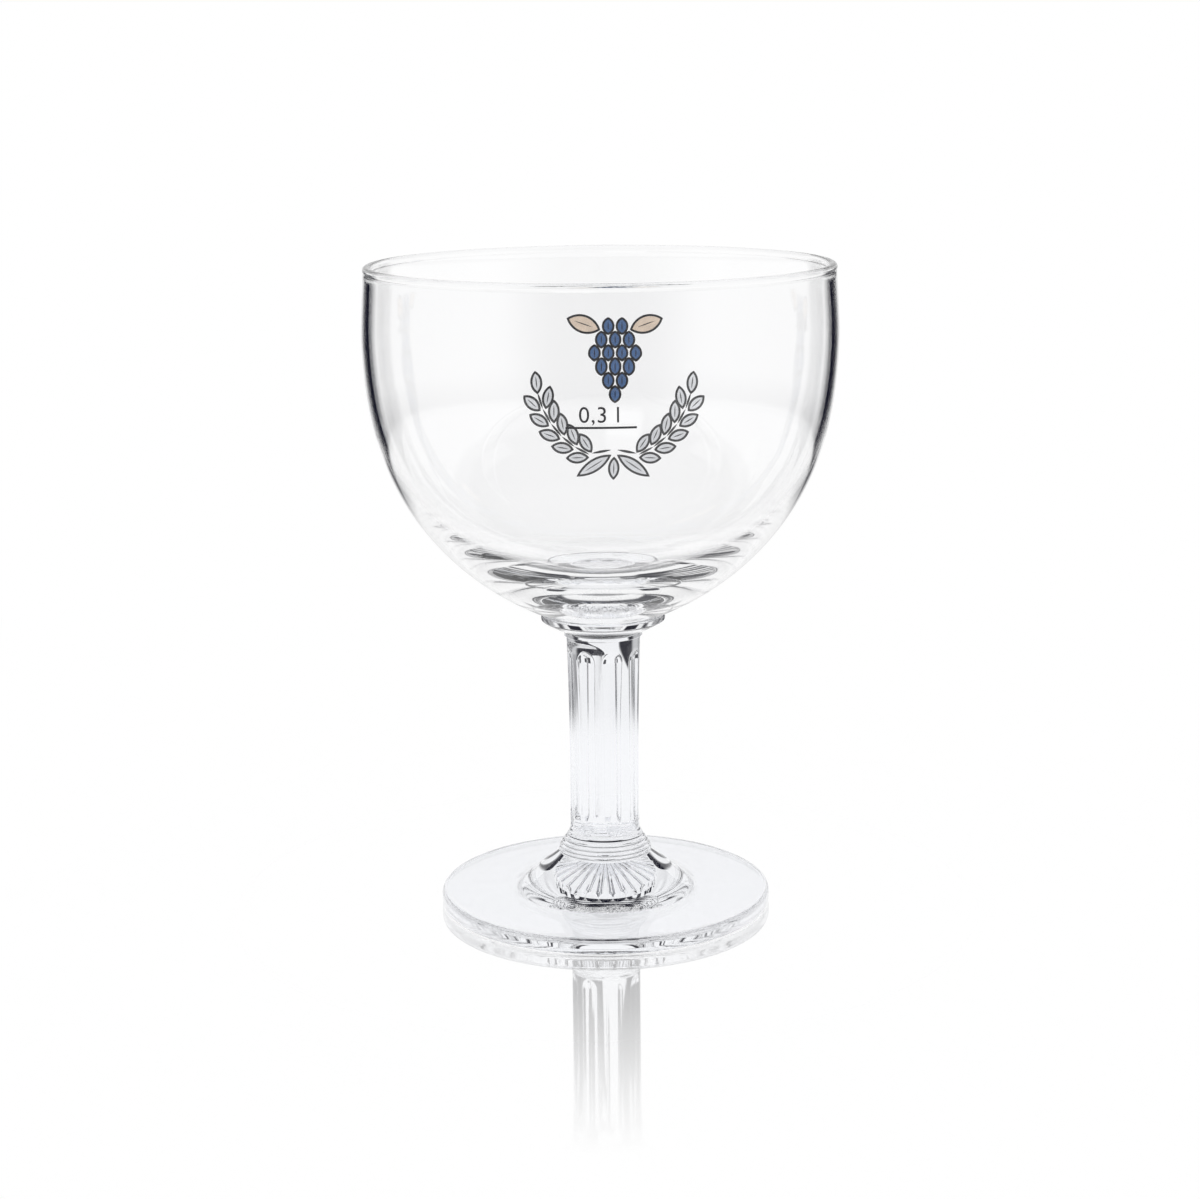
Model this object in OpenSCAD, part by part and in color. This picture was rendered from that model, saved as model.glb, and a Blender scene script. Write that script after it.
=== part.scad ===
// Chalice beer glass: a wide blown bowl on a fluted stem and a pressed disc foot.
// Millimetres, +Z up. The origin is the middle of the circle on which the foot stands.
// The decoration is on the far side, towards +Y, and the fill mark on the near side.

/* [Bowl] */
// Greatest outside diameter of the bowl
bowl_d = 117.1; // [112:0.5:122]
// Height of the bowl, from its joint with the collar to the rim
bowl_h = 87.2; // [84:0.5:92]
// Height above the joint at which the side runs straight up
bowl_side_h = 79.2; // [76:0.5:82]
// Diameter of the bowl where it stands on the collar
bowl_seat_d = 30.4; // [28:0.2:31]
// How far the side leans in again between its widest part and the rim
rim_tuck = 1.1; // [0:0.1:2]
// Height over which the side leans in
rim_tuck_h = 18; // [12:1:24]
// Thickness of the wall at the rim
wall_t = 1.8; // [1.4:0.1:2.6]
// Thickness of the glass on the axis, at the bottom of the bowl
floor_t = 7.6; // [6:0.2:9]
// Thickness of the fire-polished bead round the rim
rim_bead_t = 2.2; // [1.8:0.1:2.8]
// How far the bead stands out from the side of the bowl
rim_bead_out = 0.2; // [0:0.05:0.4]

/* [Collar] */
// Diameter of the collar between bowl and stem
collar_d = 31.2; // [31:0.2:36]
// Height of the collar
collar_h = 5.8; // [5:0.2:7]
// Height of the upright edge of the collar
collar_edge_h = 1.9; // [1.4:0.1:2.4]
// Diameter of the small step under the collar
step_d = 19.6; // [19:0.2:22]
// Height of the small step
step_h = 0.9; // [0.6:0.1:1.2]
// Rounding of the collar's edge
collar_round = 0.5; // [0.3:0.1:0.7]

/* [Stem] */
// Length of the stem between collar and foot
stem_h = 50.7; // [46:0.5:60]
// Diameter of the stem under the collar
stem_top_d = 18.6; // [18:0.1:19]
// Diameter of the stem at its waist and down to the foot
stem_d = 17.6; // [16.5:0.1:18]
// Height of the waist above the lower end of the stem
waist_h = 23.7; // [15:0.5:30]
// Number of flutes round the stem
flute_count = 8; // [6:1:10]
// Width of a flute
flute_w = 4; // [3:0.1:4.4]
// Depth of a flute, measured from the round of the stem
flute_depth = 0.67; // [0.55:0.01:0.9]
// Plain length of stem above the flutes
flute_top_gap = 3.5; // [2:0.1:6]
// Plain length of stem below the flutes
flute_bottom_gap = 0.4; // [0.4:0.1:4]
// Direction of the flute left of the front, turned from straight ahead
flute_turn_deg = 30.7; // [0:0.1:45]

/* [Foot] */
// Diameter of the foot
foot_d = 84; // [76:1:90]
// Height of the foot, up to its joint with the stem
foot_h = 19.3; // [18:0.1:22]
// Thickness of the foot at its edge
foot_edge_h = 4; // [3:0.1:5]
// Rounding of the upper corner of the edge
foot_top_round = 1.2; // [0.6:0.1:1.6]
// Rounding of the lower corner of the edge
foot_bottom_round = 1.3; // [0.6:0.1:1.6]
// Rise of the disc from its edge towards the middle
disc_slope_deg = 2; // [1:0.5:4]
// Slope of the cone that lifts the disc to the knuckle
cone_slope_deg = 40; // [35:1:45]
// Radius of the hollow blend between disc and cone
cone_blend_r = 9; // [5:0.5:12]
// Diameter of the knuckle
knuckle_d = 23.4; // [22:0.2:25]
// Height of the lower end of the knuckle above the table
knuckle_low_h = 13.2; // [12:0.2:15]
// Number of fine rings on the knuckle
ring_count = 6; // [3:1:8]
// How far each ring stands out
ring_out = 0.22; // [0.1:0.02:0.4]
// Width of the ring on which the foot stands
stand_w = 5; // [3:0.5:8]
// Rise of the underside between the standing ring and the dimple
hollow_rise = 0.8; // [0.3:0.1:1.2]
// Diameter of the ribbed dimple under the foot
dimple_d = 20; // [16:0.5:24]
// Height of the dimple above the table
dimple_h = 9; // [7:0.5:10]
// Number of ribs in the dimple
rib_count = 20; // [16:1:28]

/* [Enamel] */
// Thickness of the fired enamel
enamel_t = 0.1; // [0.08:0.01:0.2]
// Height of the fill line above the table
fill_line_h = 130.9; // [120:0.5:140]
// Length of the fill line
fill_line_w = 16; // [10:1:20]
// Thickness of the stroke of the fill line
fill_line_stroke = 0.5; // [0.3:0.1:0.8]
// Height of the middle of the decoration above the table
motif_h = 122.7; // [120:0.5:125]
// Direction of the decoration, turned from straight behind
motif_turn_deg = 4; // [0:1:10]
// Width of the black contour lines
contour_w = 0.42; // [0.36:0.02:0.44]
// Width of the hop cone
hop_w = 14.3; // [14:0.1:16]
// Height of the hop cone
hop_h = 22.4; // [22:0.2:24]
// Length of a hop leaf
hop_leaf_l = 9; // [7:0.5:10]
// Width of a hop leaf
hop_leaf_w = 4.4; // [3.4:0.2:4.6]
// Length of a barley grain
grain_l = 5.6; // [5:0.1:5.8]
// Width of a barley grain
grain_w = 2.6; // [2.2:0.1:2.7]
// Distance from one pair of grains to the next
grain_pitch = 4.6; // [4.5:0.1:4.9]
// Number of pairs of grains in an ear
grain_pairs = 5; // [3:1:5]
// Distance between the feet of the two ears
ear_gap = 13.6; // [13:0.2:16]
// Depth of the ears' feet below the middle of the decoration
ear_low = 15.8; // [15:0.2:17]
// Length of a barley blade
blade_l = 10; // [8:0.5:11]
// Width of a barley blade
blade_w = 3; // [2.4:0.1:3.2]
// Width of a stalk
stalk_w = 0.7; // [0.5:0.1:0.8]

/* [Hidden] */
$fn = 96;
bowl_r = bowl_d / 2;
collar_r = collar_d / 2;
step_r = step_d / 2;
stem_r = stem_d / 2;
stem_top_r = stem_top_d / 2;
foot_r = foot_d / 2;
knuckle_r = knuckle_d / 2;
dimple_r = dimple_d / 2;
seat_r = bowl_seat_d / 2;
stem_low = foot_h;
stem_top = stem_low + stem_h;
collar_top = stem_top + collar_h;
glass_h = collar_top + bowl_h;
// Overrun of the cuts
cut = 1;
// Steps of the smooth outlines
bowl_steps = 44;
stem_steps = 24;
arc_steps = 8;
ring_steps = 6;
dome_steps = 7;
// Powers of the bowl's outline: how full the shoulder is and how broad the base
side_power_share = 2.79;
base_power_share = 1.526;
inside_power_share = 2.2;
tuck_power_share = 1.2;
// How far the outline's points crowd towards the bottom, outside and inside
outside_crowd_share = 1.3;
inside_crowd_share = 1.8;
// Where the round of the rim's bead starts, and that of the collar's lower edge
bead_from_deg = -30;
collar_from_deg = -60;
// How blunt the dimple's dome is, where its flutes start, and how much of the pitch they fill
dome_power_share = 1.35;
crown_share = 0.16;
rib_fill_share = 0.9;
// How early the knuckle swells from the stem
knuckle_power_share = 0.85;

// Points on an arc about [x, z], from one angle to another
function arc(x, z, r, from, to, steps = arc_steps) = [
  for (i = [0 : steps])
    let (a = from + (to - from) * i / steps)
    [x + r * cos(a), z + r * sin(a)]
];

// Outlines of the bowl, as radius at a height above the joint
side_fall = bowl_side_h / pow(1 - pow(seat_r / bowl_r, base_power_share), 1 / side_power_share);
function tuck(h) =
  rim_tuck * pow(max(0, h - bowl_h + rim_tuck_h) / rim_tuck_h, tuck_power_share);
function fall(h, depth) = pow(max(0, bowl_side_h - h) / depth, side_power_share);
function bowl_outside(h) =
  bowl_r * pow(1 - fall(h, side_fall), 1 / base_power_share) - tuck(h);
function bowl_inside(h) =
  (bowl_r - wall_t) * pow(max(0, 1 - fall(h, bowl_side_h - floor_t)), 1 / inside_power_share)
  - tuck(h);

bead_r = rim_bead_t / 2;
bead_h = bowl_h - bead_r;
bead_x = bowl_outside(bead_h) + rim_bead_out - bead_r;
// Heights of the outline points: close together where the outline curves most
wall_end_h = bead_h - bead_r;
function outside_h(i) = wall_end_h * pow(i / bowl_steps, outside_crowd_share);
function inside_h(i) =
  floor_t + (wall_end_h - floor_t) * pow(i / bowl_steps, inside_crowd_share);

module bowl() {
  color("azure", 0.5)
    translate([0, 0, collar_top])
      rotate_extrude()
        polygon(concat(
          [[0, 0]],
          [for (i = [0 : bowl_steps]) [bowl_outside(outside_h(i)), outside_h(i)]],
          arc(bead_x, bead_h, bead_r, bead_from_deg, 180 - bead_from_deg, 2 * arc_steps),
          [for (i = [bowl_steps : -1 : 1]) [bowl_inside(inside_h(i)), inside_h(i)]],
          [[0, floor_t]]
        ));
}

// The collar, a disc with an upright edge and a sloping underside
module collar() {
  edge_low = collar_h - collar_edge_h;
  color("lightcyan", 0.6)
    translate([0, 0, stem_top])
      rotate_extrude()
        polygon(concat(
          [[0, 0], [step_r, 0], [step_r, step_h]],
          arc(collar_r - collar_round, edge_low + collar_round, collar_round,
            collar_from_deg, 0),
          arc(collar_r - collar_round, collar_h - collar_round, collar_round, 0, 90),
          [[0, collar_h]]
        ));
}

// Radius of the plain stem at a height above its lower end
function stem_at(h) =
  stem_r + (stem_top_r - stem_r) * pow(max(0, h - waist_h) / (stem_h - waist_h), 2);

// A flute is cut by a round rod with ball ends, set so that width and depth come out as named
chord_drop = stem_r - sqrt(pow(stem_r, 2) - pow(flute_w / 2, 2));
flute_sag = flute_depth - chord_drop;
flute_r = (pow(flute_w / 2, 2) + pow(flute_sag, 2)) / (2 * flute_sag);
flute_x = stem_r - flute_depth + flute_r;
flute_run = sqrt(pow(flute_r, 2) - pow(flute_x - stem_r, 2));

module flute_cutter() {
  low = flute_bottom_gap + flute_run;
  high = stem_h - flute_top_gap - flute_run;
  translate([flute_x, 0, low]) {
    cylinder(r = flute_r, h = high - low);
    sphere(r = flute_r);
    translate([0, 0, high - low])
      sphere(r = flute_r);
  }
}

module stem() {
  color("lightcyan", 0.6)
    translate([0, 0, stem_low])
      difference() {
        rotate_extrude()
          polygon(concat(
            [[0, 0]],
            [for (i = [0 : stem_steps]) [stem_at(stem_h * i / stem_steps), stem_h * i / stem_steps]],
            [[0, stem_h]]
          ));
        for (i = [0 : flute_count - 1])
          rotate([0, 0, 360 * i / flute_count - 90 - flute_turn_deg])
            flute_cutter();
      }
}

// The knuckle swells from the stem in a smooth S and carries fine rings
function knuckle_at(t) =
  stem_r + (knuckle_r - stem_r) * (1 - cos(180 * pow(t, knuckle_power_share))) / 2
  + ring_out * abs(sin(180 * ring_count * t));

// The blend between disc and cone touches both lines
blend_half = (cone_slope_deg - disc_slope_deg) / 2;
disc_end_x = foot_r - foot_top_round;
cone_drop = knuckle_low_h - foot_edge_h;
meet_x = (cone_drop + knuckle_r * tan(cone_slope_deg) - disc_end_x * tan(disc_slope_deg))
  / (tan(cone_slope_deg) - tan(disc_slope_deg));
meet_z = foot_edge_h + (disc_end_x - meet_x) * tan(disc_slope_deg);
blend_run = cone_blend_r * tan(blend_half);
blend_x = meet_x + blend_run * cos(disc_slope_deg) + cone_blend_r * sin(disc_slope_deg);
blend_z = meet_z - blend_run * sin(disc_slope_deg) + cone_blend_r * cos(disc_slope_deg);

// The dimple is a blunt dome, and tapered flutes fan out over it from near its crown
function dome_z(r) =
  hollow_rise + (dimple_h - hollow_rise) * (1 - pow(r / dimple_r, dome_power_share));

flute_start_r = dimple_r * crown_share;
flute_fan_drop = dome_z(flute_start_r) - hollow_rise;
flute_fan_run = dimple_r - flute_start_r;
flute_fan_deg = atan(flute_fan_drop / flute_fan_run);
flute_fan_l = norm([flute_fan_drop, flute_fan_run]) + cut;
flute_fan_share = sin(180 / rib_count) * rib_fill_share;

module dimple_cutter() {
  rotate_extrude()
    polygon(concat(
      [[0, -cut], [dimple_r, -cut]],
      [for (i = [dome_steps : -1 : 0]) let (r = dimple_r * i / dome_steps) [r, dome_z(r)]]
    ));
  for (i = [0 : rib_count - 1])
    rotate([0, 0, 360 * i / rib_count])
      translate([flute_start_r, 0, dome_z(flute_start_r)])
        rotate([0, 90 + flute_fan_deg, 0])
          cylinder(
            r1 = flute_start_r * flute_fan_share,
            r2 = (dimple_r + cut) * flute_fan_share,
            h = flute_fan_l
          );
}

module foot() {
  knuckle_steps = ring_count * ring_steps;
  color("lightcyan", 0.6)
    difference() {
      rotate_extrude()
        polygon(concat(
          [[0, hollow_rise], [dimple_r, hollow_rise], [foot_r - foot_bottom_round - stand_w, 0]],
          arc(foot_r - foot_bottom_round, foot_bottom_round, foot_bottom_round, -90, 0),
          arc(foot_r - foot_top_round, foot_edge_h - foot_top_round, foot_top_round,
            0, 90 - disc_slope_deg),
          arc(blend_x, blend_z, cone_blend_r, -90 - disc_slope_deg, -90 - cone_slope_deg),
          [
            for (i = [0 : knuckle_steps])
              let (t = 1 - i / knuckle_steps)
              [knuckle_at(t), foot_h - (foot_h - knuckle_low_h) * t]
          ],
          [[0, foot_h]]
        ));
      dimple_cutter();
    }
}

// Enamel lies on the bowl as a skin between two heights
function skin_strip(low, high) =
  let (
    stations = [for (i = [0 : bowl_steps]) outside_h(i)],
    band = [for (h = stations) if (h > low - collar_top && h < high - collar_top) h]
  )
  concat(
    [for (h = band) [bowl_outside(h), h]],
    [for (i = [len(band) - 1 : -1 : 0]) [bowl_outside(band[i]) + enamel_t, band[i]]]
  );

module skin(low, high) {
  translate([0, 0, collar_top])
    rotate_extrude()
      polygon(skin_strip(low, high));
}

// Lays a flat drawing, x to the right as seen from outside, on the far side of the bowl
module on_far_side() {
  intersection() {
    skin(motif_h - bowl_r / 2, motif_h + bowl_r / 2);
    rotate([0, 0, -motif_turn_deg])
      translate([0, bowl_r + cut, motif_h])
        rotate([90, 0, 0])
          linear_extrude(height = bowl_r)
            mirror([1, 0, 0])
              children();
  }
}

module fill_line() {
  color("black")
    intersection() {
      skin(fill_line_h - bowl_r / 4, fill_line_h + bowl_r / 4);
      translate([-fill_line_w / 2, -bowl_r - cut, fill_line_h - fill_line_stroke / 2])
        cube([fill_line_w, bowl_r, fill_line_stroke]);
    }
}

// A pointed leaf shape, the overlap of two circles, with its stalk end at the origin
module leaf(length, width, grow = 0) {
  half = length / 2;
  r = (pow(half, 2) + pow(width / 2, 2)) / width;
  intersection_for (side = [-1, 1])
    translate([side * (r - width / 2), half])
      circle(r = r + grow);
}

// Where each leaf shape of the decoration has its foot, and its turn
// The scales of the hop cone point down, each row set between the scales above
hop_row_counts = [2, 3, 4, 3, 2, 1];
// Size of a scale as shares of the cone's, and how far up the cone's middle the top row starts
scale_w_share = 0.203;
scale_l_share = 0.1875;
hop_top_share = 0.92;
scale_w = hop_w * scale_w_share;
scale_step = (hop_w - scale_w) / (max(hop_row_counts) - 1);
scale_l = hop_h * scale_l_share;
scale_drop = (hop_h - scale_l) / (len(hop_row_counts) - 1);
hop_top = hop_h * hop_top_share;
scale_places = [
  for (row = [0 : len(hop_row_counts) - 1], i = [0 : hop_row_counts[row] - 1])
    [(i - (hop_row_counts[row] - 1) / 2) * scale_step, hop_top - row * scale_drop, 180]
];

// Where the hop leaves spring: shares of the cone's width and height, from its top row
hop_leaf_deg = 70;
hop_leaf_aside_share = 0.308;
hop_leaf_drop_share = 0.134;
hop_leaf_aside = hop_w * hop_leaf_aside_share;
hop_leaf_foot = hop_top - hop_h * hop_leaf_drop_share;
hop_leaf_places = [
  for (side = [-1, 1]) [side * hop_leaf_aside, hop_leaf_foot, -side * hop_leaf_deg]
];

// An ear of barley rises from its foot and bends upright, with a pair of grains at each step
ear_lean_deg = 62;
ear_bend_deg = 11;
grain_lean_deg = 28;
grain_aside_share = 0.35;
grain_aside = grain_w * grain_aside_share;
function ear_lean(i) = ear_lean_deg - i * ear_bend_deg;
function ear_axis(i) =
  i == 0
    ? [ear_gap / 2, -ear_low]
    : ear_axis(i - 1) + grain_pitch * [sin(ear_lean(i - 1)), cos(ear_lean(i - 1))];
pair_places = [
  for (side = [-1, 1], i = [0 : grain_pairs - 1], hand = [-1, 1])
    let (axis = ear_axis(i), lean = ear_lean(i))
    [
      side * (axis[0] + hand * grain_aside * cos(lean)),
      axis[1] - hand * grain_aside * sin(lean),
      -side * (lean + hand * grain_lean_deg)
    ]
];
end_places = [
  for (side = [-1, 1])
    [side * ear_axis(grain_pairs)[0], ear_axis(grain_pairs)[1], -side * ear_lean(grain_pairs)]
];

// Two blades and one grain hang below the ears, and a stalk leads to the foot of each ear
blade_deg = 122;
blade_aside_share = 0.4;
blade_low_share = 0.13;
blade_aside = blade_w * blade_aside_share;
blade_foot = -ear_low - blade_w * blade_low_share;
blade_places = [for (side = [-1, 1]) [side * blade_aside, blade_foot, -side * blade_deg]];
drop_low_share = 0.25;
drop_places = [[0, blade_foot - grain_w * drop_low_share, 180]];
grain_places = concat(pair_places, end_places, drop_places);
stalk_deg = 99.5;
stalk_from_share = 1.15;
stalk_short_share = 0.7;
stalk_start = [stalk_w * stalk_from_share, blade_aside - ear_low];
stalk_l = ear_gap / 2 - stalk_start[0] - stalk_w * stalk_short_share;
stalk_places = [for (side = [-1, 1]) [side * stalk_start[0], stalk_start[1], -side * stalk_deg]];

module fills(places, length, width) {
  for (place = places)
    translate([place[0], place[1]])
      rotate(place[2])
        leaf(length, width, -contour_w / 2);
}

module rings(places, length, width) {
  for (place = places)
    translate([place[0], place[1]])
      rotate(place[2])
        difference() {
          leaf(length, width, contour_w / 2);
          leaf(length, width, -contour_w / 2);
        }
}

module enamel_blue() {
  color("steelblue")
    on_far_side()
      fills(scale_places, scale_l, scale_w);
}

module enamel_grey() {
  color("gainsboro")
    on_far_side() {
      fills(grain_places, grain_l, grain_w);
      fills(blade_places, blade_l, blade_w);
    }
}

module enamel_cream() {
  color("wheat")
    on_far_side()
      fills(hop_leaf_places, hop_leaf_l, hop_leaf_w);
}

module enamel_black() {
  color("black")
    on_far_side() {
      rings(scale_places, scale_l, scale_w);
      rings(hop_leaf_places, hop_leaf_l, hop_leaf_w);
      rings(grain_places, grain_l, grain_w);
      rings(blade_places, blade_l, blade_w);
      for (place = stalk_places)
        translate([place[0], place[1]])
          rotate(place[2])
            leaf(stalk_l, stalk_w);
    }
}

bowl();
collar();
stem();
foot();
fill_line();
enamel_blue();
enamel_black();
enamel_grey();
enamel_cream();
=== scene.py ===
"""Chalice beer glass: clear blown bowl, collar, fluted stem and pressed foot, with fired enamel.

Every length is in metres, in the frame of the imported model: +Z up, the origin is the middle of
the circle on which the foot stands, the decoration faces +Y and the fill mark faces -Y.
"""

import math

import bmesh
import bpy
import numpy as np
from bpy.props import FloatProperty, FloatVectorProperty, IntProperty, PointerProperty
from mathutils import Matrix


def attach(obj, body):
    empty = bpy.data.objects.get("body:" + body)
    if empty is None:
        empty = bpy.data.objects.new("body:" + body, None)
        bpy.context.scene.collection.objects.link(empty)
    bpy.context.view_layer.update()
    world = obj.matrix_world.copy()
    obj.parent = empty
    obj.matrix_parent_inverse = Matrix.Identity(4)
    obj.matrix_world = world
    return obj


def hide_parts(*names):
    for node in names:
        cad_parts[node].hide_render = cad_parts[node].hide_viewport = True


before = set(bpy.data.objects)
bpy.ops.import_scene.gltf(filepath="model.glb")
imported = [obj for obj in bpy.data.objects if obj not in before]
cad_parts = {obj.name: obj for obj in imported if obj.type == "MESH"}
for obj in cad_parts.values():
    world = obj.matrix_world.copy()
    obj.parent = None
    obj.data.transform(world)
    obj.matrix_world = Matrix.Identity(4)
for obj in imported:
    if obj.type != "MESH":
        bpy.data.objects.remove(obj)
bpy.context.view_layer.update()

bl_info = {
    "name": "Chalice Beer Glass",
    "version": (1, 0, 0),
    "blender": (4, 5, 0),
    "location": "View3D > Sidebar > Glass",
    "description": "Makes a clear chalice beer glass with a fluted stem and an enamel decoration",
    "category": "Add Mesh",
}

MM = 0.001
BODY = "root"
# The outline of the bowl: how full the shoulder is, how broad the base, and how round the inside
SIDE_POWER = 2.79
BASE_POWER = 1.526
INSIDE_POWER = 2.2
TUCK_POWER = 1.2
# The swell of the knuckle and the dome of the dimple
KNUCKLE_POWER = 0.85
DOME_POWER = 1.35
CROWN_SHARE = 0.16
RIB_FILL_SHARE = 0.9
# Faces round the turned pieces, along their outlines and along a stroke of enamel
ROUND_STEPS = 320
BOWL_STEPS = 96
BEAD_STEPS = 28
DIMPLE_STEPS = 44
RING_STEPS = 16
LEAF_STEPS = 22
ACROSS_STEPS = 6
LINE_STEPS = 48
SHARP_DEG = 30
# How far the bowl's rows crowd towards its bottom, outside and inside
OUTSIDE_CROWD = 1.5
INSIDE_CROWD = 2
# Where the round of the rim's bead starts, and that of the collar's lower edge
BEAD_FROM_DEG = -30
COLLAR_FROM_DEG = -60


def length(name, description, default, **more):
    """A length that a user can change, given here in millimetres."""
    return FloatProperty(
        name=name, description=description, default=default * MM, min=0.0, unit="LENGTH", **more
    )


def slope(name, description, default):
    """An angle that a user can change, given here in degrees."""
    return FloatProperty(
        name=name, description=description, default=math.radians(default), subtype="ANGLE"
    )


def colour(name, description, default):
    return FloatVectorProperty(
        name=name, description=description, default=default, size=3, min=0.0, max=1.0,
        subtype="COLOR",
    )


class BowlSizes(bpy.types.PropertyGroup):
    diameter: length("Diameter", "Greatest outside diameter of the bowl", 117.1)
    height: length("Height", "From the joint with the collar to the rim", 87.2)
    side_height: length("Side height", "Height at which the side runs straight up", 79.2)
    seat: length("Seat", "Diameter of the bowl where it stands on the collar", 30.4)
    tuck: length("Tuck", "How far the side leans in again below the rim", 1.1)
    tuck_height: length("Tuck height", "Height over which the side leans in", 18.0)
    wall: length("Wall", "Thickness of the wall at the rim", 1.8)
    floor: length("Floor", "Thickness of the glass on the axis", 7.6)
    bead: length("Bead", "Thickness of the fire-polished rim", 2.2)
    bead_out: length("Bead overhang", "How far the rim stands out from the side", 0.2)
    glass: colour("Glass", "Tint of the blown glass", (0.99, 0.991, 0.996))


class CollarSizes(bpy.types.PropertyGroup):
    diameter: length("Diameter", "Diameter of the collar", 31.2)
    height: length("Height", "Height of the collar", 5.8)
    edge: length("Edge", "Height of the collar's upright edge", 1.9)
    step: length("Step", "Diameter of the step under the collar", 19.6)
    step_height: length("Step height", "Height of the step", 0.9)
    rounding: length("Rounding", "Rounding of the collar's edge", 0.5)


class StemSizes(bpy.types.PropertyGroup):
    height: length("Height", "Length of the stem between collar and foot", 50.7)
    top: length("Top", "Diameter under the collar", 18.6)
    diameter: length("Diameter", "Diameter at the waist and down to the foot", 17.6)
    waist: length("Waist", "Height of the waist above the lower end", 23.7)
    flutes: IntProperty(name="Flutes", description="Number of flutes", default=8, min=3)
    flute_width: length("Flute width", "Width of a flute", 4.0)
    flute_depth: length("Flute depth", "Depth from the round of the stem", 0.67)
    top_gap: length("Top gap", "Plain stem above the flutes", 3.5)
    bottom_gap: length("Bottom gap", "Plain stem below the flutes", 0.4)
    turn: slope("Turn", "Direction of a flute left of the front", 30.7)
    softness: length("Softness", "Rounding of the ridges between flutes", 0.27)
    glass: colour("Glass", "Tint of the pressed glass", (0.92, 0.93, 0.955))


class FootSizes(bpy.types.PropertyGroup):
    diameter: length("Diameter", "Diameter of the foot", 84.0)
    height: length("Height", "Height up to the joint with the stem", 19.3)
    edge: length("Edge", "Thickness at the edge", 4.0)
    top_round: length("Upper rounding", "Rounding of the edge's upper corner", 1.2)
    bottom_round: length("Lower rounding", "Rounding of the edge's lower corner", 1.3)
    disc_slope: slope("Disc slope", "Rise of the disc towards the middle", 2.0)
    cone_slope: slope("Cone slope", "Slope of the cone below the knuckle", 40.0)
    blend: length("Blend", "Radius of the hollow blend between disc and cone", 9.0)
    knuckle: length("Knuckle", "Diameter of the knuckle", 23.4)
    knuckle_low: length("Knuckle height", "Height of the knuckle's lower end", 13.2)
    rings: IntProperty(name="Rings", description="Fine rings on the knuckle", default=6, min=1)
    ring_out: length("Ring", "How far each ring stands out", 0.22)
    stand: length("Stand", "Width of the ring on which the foot stands", 5.0)
    hollow: length("Hollow", "Rise of the underside inside that ring", 0.8)
    dimple: length("Dimple", "Diameter of the ribbed dimple", 20.0)
    dimple_height: length("Dimple height", "Height of the dimple above the table", 9.0)
    ribs: IntProperty(name="Ribs", description="Ribs round the dimple", default=20, min=3)


class PrintSizes(bpy.types.PropertyGroup):
    line_height: length("Fill line height", "Height of the fill line above the table", 130.9)
    line_length: length("Fill line length", "Length of the fill line", 16.0)
    line_stroke: length("Fill line stroke", "Thickness of the fill line", 0.5)
    middle: length("Decoration height", "Height of the decoration's middle", 122.7)
    turn: slope("Decoration turn", "Direction, turned from straight behind", 4.0)
    contour: length("Contour", "Width of the black contour lines", 0.6)
    vein: length("Vein", "Width of the fine lines inside the leaves", 0.28)
    hop_width: length("Hop width", "Width of the hop cone", 14.3)
    hop_height: length("Hop height", "Height of the hop cone", 22.4)
    hop_leaf: length("Hop leaf", "Length of a hop leaf", 9.0)
    hop_leaf_width: length("Hop leaf width", "Width of a hop leaf", 4.4)
    grain: length("Grain", "Length of a barley grain", 5.6)
    grain_width: length("Grain width", "Width of a barley grain", 2.6)
    grain_pitch: length("Grain pitch", "From one pair of grains to the next", 4.6)
    grain_pairs: IntProperty(name="Grain pairs", description="Pairs in an ear", default=5, min=1)
    ear_gap: length("Ear gap", "Between the feet of the two ears", 13.6)
    ear_low: length("Ear depth", "Ears' feet below the middle of the decoration", 15.8)
    blade: length("Blade", "Length of a barley blade", 10.0)
    blade_width: length("Blade width", "Width of a barley blade", 3.0)
    stalk_width: length("Stalk width", "Width of a stalk", 0.7)
    proud: length("Enamel", "How far the enamel stands out of the glass", 0.05)
    lift: length("Lift", "Height of the enamel's underside above the glass", 0.004)
    blue: colour("Blue", "Hop cone", (0.06, 0.15, 0.35))
    black: colour("Black", "Contours and the fill mark", (0.012, 0.012, 0.016))
    grey: colour("Grey", "Barley grains", (0.78, 0.79, 0.81))
    cream: colour("Cream", "Hop leaves", (0.80, 0.66, 0.53))


class StageSettings(bpy.types.PropertyGroup):
    floor: length("Floor", "Half the width of the floor", 4000.0)
    mirror: FloatProperty(
        name="Mirror", description="Strength of the mirror gloss by the foot", default=0.6,
        min=0.0, max=1.0, subtype="FACTOR",
    )
    mirror_end: length("Mirror end", "Distance at which the mirror gloss has faded", 151.0)
    lens: FloatProperty(
        name="Lens", description="Focal length of the camera", default=73.2,
        subtype="DISTANCE_CAMERA",
    )


def sizes(name):
    return getattr(bpy.context.scene, f"chalice_{name}")


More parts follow.
